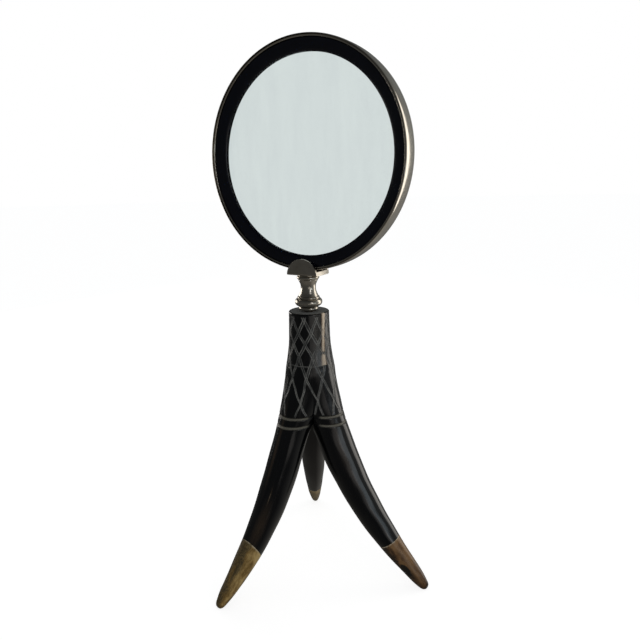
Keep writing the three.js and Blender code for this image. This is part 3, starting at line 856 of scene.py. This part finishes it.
def nickel(name, tarnish=0.5, roughness=0.08):
    """Old nickel plate: warm grey, with soft tarnish and fine rubbing marks."""
    surface = Surface(name)
    place = surface.object_space()
    cloud = surface.noise(place, 0.09, 5, 0.6)
    spots = surface.noise(place, 0.9, 3, 0.6)
    rubbed = surface.noise(surface.stretched(place, (0.4, 0.4, 5)), 1.4, 3, 0.6)
    clean = surface.mix(cloud, (0.50, 0.465, 0.405), (0.64, 0.61, 0.55))
    aged = surface.mix(surface.range(cloud, 0.35, 0.75, 0, tarnish), clean, (0.27, 0.235, 0.18))
    colour = surface.mix(surface.range(spots, 0.62, 0.78, 0, 0.4), aged, (0.18, 0.145, 0.105))
    soft = surface.range(cloud, 0.3, 0.7, roughness, roughness + 0.07)
    rough = surface.math("ADD", soft, surface.range(rubbed, 0.3, 0.7, 0, 0.05))
    surface.set(Base_Color=colour, Metallic=1.0, Roughness=rough)
    surface.bump(rubbed, 0.1, 0.04)
    surface.bump(cloud, 0.2, 0.3)
    return surface.material


def plain_metal(name, light, dark, roughness):
    """Machined metal for the hidden fittings."""
    surface = Surface(name)
    place = surface.object_space()
    cloud = surface.noise(place, 0.4, 4, 0.6)
    turning = surface.noise(surface.stretched(place, (0.2, 0.2, 6)), 1.5, 2, 0.5)
    rough = surface.range(turning, 0.3, 0.7, roughness - 0.07, roughness + 0.07)
    surface.set(Base_Color=surface.mix(cloud, dark, light), Metallic=1.0, Roughness=rough)
    surface.bump(turning, 0.2, 0.05)
    return surface.material


def polished_horn(surface):
    """Black horn's grain, its fine fibres, and its near black colour with faint brown streaks."""
    grain = surface.attribute("grain", "Vector")
    streaks = surface.noise(surface.stretched(grain, (1, 1, 0.06)), 0.35, 5, 0.6)
    fibres = surface.noise(surface.stretched(grain, (1, 1, 0.05)), 1.6, 3, 0.6)
    black, grey, brown = (0.0005, 0.001, 0.0024), (0.0014, 0.0019, 0.003), (0.008, 0.0062, 0.0045)
    return grain, fibres, surface.ramp(streaks, [(0.42, black), (0.6, grey), (0.78, brown)])


def cut_horn(surface, grain, colour, shown=1.0):
    """The unevenness of the carving, and the horn's colour with the carving in it: dull grey floors,
    with thin light lines along their edges, which are painted highlights where the cut walls catch the light."""
    tooling = surface.noise(grain, 1.5, 3, 0.7)
    patches = surface.noise(grain, 0.16, 2, 0.5)
    floor = surface.times(surface.attribute("carved"), surface.range(tooling, 0.3, 0.7, 0.35, 1.0))
    colour = surface.mix(surface.times(floor, shown), colour, (0.030, 0.032, 0.031))
    # painted highlight: the edges of the cuts are coloured light where their walls would catch the light
    painted_edge_highlight = surface.times(surface.attribute("edge"), surface.range(tooling, 0.3, 0.65, 0.25, 1.0))
    painted_edge_highlight = surface.times(painted_edge_highlight, surface.range(patches, 0.38, 0.62, 0.3, 1.0))
    return tooling, surface.mix(surface.times(painted_edge_highlight, shown), colour, (0.25, 0.245, 0.22))


def leg_horn(name):
    """The horn of the legs: polished black, with paler marks, grey carving and olive grooves."""
    surface = Surface(name)
    grain, fibres, colour = polished_horn(surface)
    pale = surface.times(surface.attribute("pale"), surface.range(fibres, 0.3, 0.62, 0.4, 1.1))
    black, brown, tan = (0.01, 0.007, 0.005), (0.022, 0.014, 0.008), (0.11, 0.085, 0.06)
    streak = surface.ramp(pale, [(0.1, black), (0.45, brown), (0.9, tan)])
    colour = surface.mix(surface.range(pale, 0, 0.1, 0, 1), colour, streak)
    tooling, colour = cut_horn(surface, grain, colour)
    groove = surface.attribute("groove")
    scraped = surface.times(surface.attribute("shown_groove"), surface.range(tooling, 0.3, 0.7, 0.45, 1.0))
    colour = surface.mix(scraped, colour, (0.12, 0.112, 0.085))
    dull = surface.math("MAXIMUM", surface.attribute("carved"), groove)
    polish = surface.range(fibres, 0.3, 0.7, 0.11, 0.2)
    rough = surface.math("ADD", polish, surface.times(dull, 0.35))
    surface.set(Base_Color=colour, Roughness=rough)
    surface.bump(fibres, 0.12, 0.06)
    surface.bump(surface.times(tooling, dull), 0.5, 0.25)
    return surface.material


def collar_horn(name):
    """The collar's horn: as the legs, with its cream streak and its dull sawn top."""
    surface = Surface(name)
    grain, fibres, colour = polished_horn(surface)
    pale, colour = streaked(surface, grain, colour)
    tooling, colour = cut_horn(surface, grain, colour, surface.range(pale, 0.3, 0.7, 1.0, 0.3))
    grit = surface.noise(grain, 2.2, 4, 0.7)
    sawn, carved = surface.attribute("sawn"), surface.attribute("carved")
    colour = surface.mix(sawn, colour, surface.mix(grit, (0.055, 0.058, 0.056), (0.15, 0.155, 0.15)))
    cut_dull, sawn_dull = surface.times(carved, 0.35), surface.times(sawn, 0.5)
    polish = surface.range(fibres, 0.3, 0.7, 0.14, 0.26)
    rough = surface.math("ADD", polish, surface.math("MAXIMUM", cut_dull, sawn_dull))
    surface.set(Base_Color=colour, Roughness=rough)
    surface.bump(fibres, 0.12, 0.06)
    surface.bump(surface.times(tooling, carved), 0.5, 0.25)
    surface.bump(surface.times(grit, sawn), 0.6, 0.3)
    return surface.material


def streaked(surface, grain, colour):
    """How pale the collar is, and its colour with the cream streak and a painted brownish sheen beside it."""
    mottle = surface.noise(surface.stretched(grain, (1, 1, 0.35)), 0.8, 4, 0.7)
    pale = surface.times(surface.attribute("pale"), surface.range(mottle, 0.3, 0.62, 0.5, 1.15))
    brown, tan, cream = (0.020, 0.013, 0.009), (0.12, 0.078, 0.05), (0.56, 0.46, 0.34)
    streak = surface.ramp(pale, [(0.1, (0, 0, 0)), (0.22, brown), (0.46, tan), (0.76, cream)])
    colour = surface.mix(surface.range(pale, 0.1, 0.3, 0, 1), colour, streak)
    mottled = surface.range(mottle, 0.35, 0.6, 0.35, 1)
    # painted sheen: a brownish reflection of the lights, painted round one side of the collar
    brownish = surface.times(surface.attribute("brownish"), mottled)
    return pale, surface.mix(brownish, colour, (0.028, 0.024, 0.02))


def ring_horn(name):
    """The lens frame's horn: blue-black and evenly polished."""
    surface = Surface(name)
    place = surface.object_space()
    cloud = surface.noise(place, 0.12, 4, 0.6)
    lines = surface.noise(surface.stretched(place, (1, 0.15, 1)), 0.8, 3, 0.6)
    colour = surface.ramp(cloud, [(0.35, (0.0001, 0.0008, 0.0045)), (0.7, (0.0005, 0.0014, 0.006))])
    surface.set(Base_Color=colour, Roughness=surface.range(lines, 0.3, 0.7, 0.18, 0.26))
    surface.set(Specular_IOR_Level=0.4)
    surface.bump(lines, 0.1, 0.05)
    return surface.material


def tip_horn(name, dark, middle, light, painted_light_side):
    """Paler horn of a tip: olive and brown streaks along the grain, with painted light and shade that make it
    lighter towards one side of the horn, given in degrees round from its outer face."""
    surface = Surface(name)
    grain = surface.attribute("grain", "Vector")
    streaks = surface.noise(surface.stretched(grain, (1, 1, 0.35)), 0.2, 5, 0.6)
    fibres = surface.noise(surface.stretched(grain, (1, 1, 0.35)), 1.7, 4, 0.75)
    side = math.radians(painted_light_side)
    # painted light and shade: the tip is made lighter towards the side given and darker away from it
    facing = surface.along(grain, (math.cos(side), math.sin(side), 0))
    streaks_and_painted_shade = surface.math("ADD", streaks, surface.range(facing, -5, 8, -0.3, 0.17))
    colour = surface.ramp(streaks_and_painted_shade, [(0.34, dark), (0.52, middle), (0.72, light)])
    colour = surface.mix(surface.range(fibres, 0.48, 0.75, 0, 0.5), colour, light)
    colour = surface.mix(surface.range(fibres, 0.45, 0.3, 0, 0.6), colour, dark)
    colour = tip_marks(surface, grain, fibres, streaks, colour, light)
    surface.set(Base_Color=colour, Roughness=surface.range(fibres, 0.3, 0.7, 0.26, 0.42))
    surface.set(Specular_IOR_Level=0.35)
    surface.bump(fibres, 0.25, 0.12)
    return surface.material


def tip_marks(surface, grain, fibres, streaks, colour, light):
    """A tip's colour with its pale marks, its black blotches and the broken light line at its seam."""
    pale = surface.times(surface.attribute("pale"), surface.range(fibres, 0.35, 0.6, 0.3, 1))
    colour = surface.mix(pale, colour, light)
    blotch = surface.math("ADD", surface.attribute("blotch"), surface.range(streaks, 0.3, 0.7, -0.25, 0.25))
    colour = surface.mix(surface.range(blotch, 0.4, 0.55, 0, 0.95), colour, (0.006, 0.006, 0.005))
    near_seam = surface.range(surface.attribute("seam"), 0.2, 1.1, 0.7, 0)
    broken = surface.range(surface.noise(grain, 0.45, 2, 0.5), 0.38, 0.6, 0, 1)
    return surface.mix(surface.times(near_seam, broken), colour, (0.40, 0.35, 0.25))


def wood(name):
    """Beech for the hidden dowels."""
    surface = Surface(name)
    place = surface.object_space((1, 1, 0.08))
    growth = surface.noise(place, 1.1, 4, 0.6)
    colour = surface.ramp(growth, [(0.35, (0.32, 0.19, 0.09)), (0.65, (0.52, 0.36, 0.20))])
    surface.set(Base_Color=colour, Roughness=surface.range(growth, 0.3, 0.7, 0.6, 0.75))
    surface.bump(growth, 0.3, 0.1)
    return surface.material


def lens_glass(name):
    """Clear glass with a faint cool tint, wiped a little unevenly."""
    surface = Surface(name)
    place = surface.object_space()
    wiped = surface.noise(surface.stretched(place, (0.11, 0.11, 0.025)), 1, 4, 0.6)
    tint = surface.ramp(wiped, [(0.35, (0.645, 0.708, 0.705)), (0.65, (0.675, 0.742, 0.732))])
    surface.set(Base_Color=tint, Roughness=0.0, IOR=1.5, Transmission_Weight=1.0)
    return surface.material


# ---- Stage, light and camera ----

CAMERA_PLACE = Vector(AXIS) + Vector((0.20077, -0.32828, 0.29069))
CAMERA_TURN = math.radians(30.29)
CAMERA_TILT = math.radians(90 - 13.8)  # 13.8 degrees below level
CAMERA_ROLL = math.radians(-1.24)
CAMERA_LENS = 30.94
SENSOR_WIDTH = 36.0
LIGHT_TARGET = Vector(AXIS) + Vector(RING_CENTRE) * MM * 0.7


def build_camera():
    data = bpy.data.cameras.new("camera")
    data.lens, data.sensor_width = CAMERA_LENS, SENSOR_WIDTH
    camera = bpy.data.objects.new("camera", data)
    turn = Matrix.Rotation(CAMERA_TURN, 4, "Z") @ Matrix.Rotation(CAMERA_TILT, 4, "X")
    camera.matrix_world = Matrix.Translation(CAMERA_PLACE) @ turn @ Matrix.Rotation(CAMERA_ROLL, 4, "Z")
    bpy.context.scene.collection.objects.link(camera)
    bpy.context.scene.camera = camera


def soft_light(name, way, distance, size, power, colour):
    """A rectangular soft light that faces the neck, from one way and at a distance in metres."""
    data = bpy.data.lights.new(name, "AREA")
    data.shape = "RECTANGLE"
    data.size, data.size_y = size
    data.energy, data.color = power, colour
    light = bpy.data.objects.new(name, data)
    way = Vector(way).normalized()
    light.location = LIGHT_TARGET + way * distance
    light.rotation_euler = way.to_track_quat("Z", "Y").to_euler()
    light.visible_camera = False
    bpy.context.scene.collection.objects.link(light)


def build_lights():
    """A tall warm key light behind at the right, and a fill at the left. A window makes the neck's
    highlight, a low panel the sheen on the right leg, and a wide dim one lights the neck's middle."""
    soft_light("key", (0.665, 0.747, 0.1), 1.0, (0.5, 1.2), 3.7, (1.0, 0.95, 0.88))
    soft_light("window", (0.87, -0.5, 0.2), 1.0, (0.2, 0.6), 0.7, (0.97, 0.98, 1.0))
    soft_light("panel", (0.985, -0.17, -0.066), 1.0, (0.5, 0.14), 0.32, (0.8, 0.92, 1.0))
    soft_light("wide", (0.75, -0.63, -0.19), 0.6, (0.4, 0.16), 0.1, (1.0, 0.95, 0.89))
    soft_light("fill", (-0.97, 0.2, 0.05), 1.2, (0.8, 0.5), 3.6, (1.0, 0.95, 0.9))


# What reflections see, from straight down to straight up: a dim room with a paler floor. The room is
# brighter towards its light side.
ROOM = [
    (0.0, (0.15, 0.14, 0.125)), (0.25, (0.085, 0.083, 0.078)), (0.42, (0.07, 0.07, 0.068)),
    (0.6, (0.075, 0.077, 0.075)), (0.8, (0.055, 0.056, 0.055)), (1.0, (0.03, 0.031, 0.032)),
]
LIGHT_SIDE = (0.66, 0.75, 0.0)
LIGHT_SIDE_LEVEL = 3.6  # how many times brighter
SOFT_LIGHT_LEVEL = 0.62  # what unpolished surfaces receive from all round
FLOOR_GLOW = 0.815  # what makes the floor as white as the backdrop


def build_world():
    """White where the camera looks, straight or through the lens, a dim room for reflections, and
    soft even light for everything else."""
    world = bpy.data.worlds.new("studio")
    bpy.context.scene.world = world
    world.use_nodes = True
    tree = NodeTree(world.node_tree)
    tree.nodes.clear()
    path = tree.node("ShaderNodeLightPath").outputs
    seen = tree.math("MAXIMUM", path["Is Camera Ray"], path["Is Transmission Ray"])
    room = background(tree, room_colour(tree))
    soft = background(tree, (0.97, 0.985, 1.0, 1), SOFT_LIGHT_LEVEL)
    lit = mixed(tree, path["Is Diffuse Ray"], room, soft)
    shown = mixed(tree, seen, lit, background(tree, (1, 1, 1, 1)))
    tree.node("ShaderNodeOutputWorld", {"Surface": shown})


def room_colour(tree):
    """The room's colour, by how far up a ray goes and how near the light side."""
    way = tree.node("ShaderNodeTexCoord").outputs["Generated"]
    room = tree.ramp(tree.range(tree.along(way, (0, 0, 1)), -1, 1, 0, 1), ROOM)
    level = tree.range(tree.along(way, LIGHT_SIDE), 0.2, 0.85, 1, LIGHT_SIDE_LEVEL)
    return tree.node("ShaderNodeVectorMath", {0: room, "Scale": level}, operation="SCALE").outputs[0]


def background(tree, colour, strength=1.0):
    return tree.node("ShaderNodeBackground", {"Color": colour, "Strength": strength}).outputs[0]


def mixed(tree, factor, first, second):
    return tree.node("ShaderNodeMixShader", {0: factor, 1: first, 2: second}).outputs[0]


def build_floor():
    surface = Surface("pale_floor")
    grain = surface.noise(surface.object_space(), 0.02, 2, 0.5)
    surface.set(Base_Color=surface.mix(grain, (0.29, 0.29, 0.288), (0.31, 0.31, 0.31)), Roughness=0.9)
    surface.set(Emission_Color=(1, 1, 1, 1), Emission_Strength=FLOOR_GLOW, Specular_IOR_Level=0.0)
    made = bmesh.new()
    bmesh.ops.create_circle(made, cap_ends=True, segments=96, radius=12)
    floor = scene_object("floor", made)
    floor.data.materials.append(surface.material)
    floor.visible_glossy = False
    floor.visible_diffuse = False


def set_colours():
    view = bpy.context.scene.view_settings
    view.view_transform = "Standard"
    view.look = "None"
    view.exposure = 0
    view.gamma = 1


# ---- The scene ----

# Each tip's dark, middle and light colours, and the side towards which painted light and shade make it
# lighter.
TIP_COLOURS = {
    "front_left": ((0.038, 0.026, 0.009), (0.12, 0.066, 0.01), (0.34, 0.235, 0.085), 125),
    "front_right": ((0.014, 0.008, 0.004), (0.06, 0.027, 0.008), (0.155, 0.083, 0.03), -20),
    "rear": ((0.10, 0.07, 0.025), (0.22, 0.15, 0.06), (0.32, 0.235, 0.11), -90),
}


def dress_hidden_nodes():
    """Materials for the CAD pieces inside, which keep their own shapes."""
    steel = plain_metal("steel", (0.58, 0.58, 0.57), (0.42, 0.42, 0.41), 0.38)
    brass = plain_metal("brass", (0.70, 0.50, 0.22), (0.52, 0.35, 0.14), 0.36)
    beech = wood("beech")
    looks = {"neck_stud": steel, "band_nut": steel, "threaded_insert": brass}
    looks.update({kind + side: beech for kind in ("collar_dowel_", "tip_dowel_") for side in LEGS})
    for node, material in looks.items():
        for holder in frame["nodes"][node].material_slots:
            holder.material = material


def build_stand():
    """Everything that stays still: the legs, their tips, the collar and the ferrule."""
    horn = leg_horn("leg_horn")
    for side, leg in LEGS.items():
        build_leg(side, leg, horn)
        build_tip(side, leg, tip_horn("tip_horn_" + side, *TIP_COLOURS[side]))
    build_collar(collar_horn("collar_horn"))
    build_ferrule(nickel("nickel_ferrule", 0.6))


def build_head():
    """Everything that turns: the neck, the saddle and the framed lens."""
    plate = nickel("nickel_plate")
    horn = ring_horn("ring_horn")
    build_band(plate)
    build_neck(nickel("nickel_neck", 0.7, 0.15))
    build_saddle(nickel("nickel_saddle", 0.6, 0.26))
    build_lens(lens_glass("lens_glass"))
    for side, facing in (("front", -1), ("rear", 1)):
        build_rim(side, facing, plate)
        build_horn_ring(side, facing, horn)


build_camera()
build_lights()
build_world()
build_floor()
set_colours()
dress_hidden_nodes()
build_stand()
build_head()
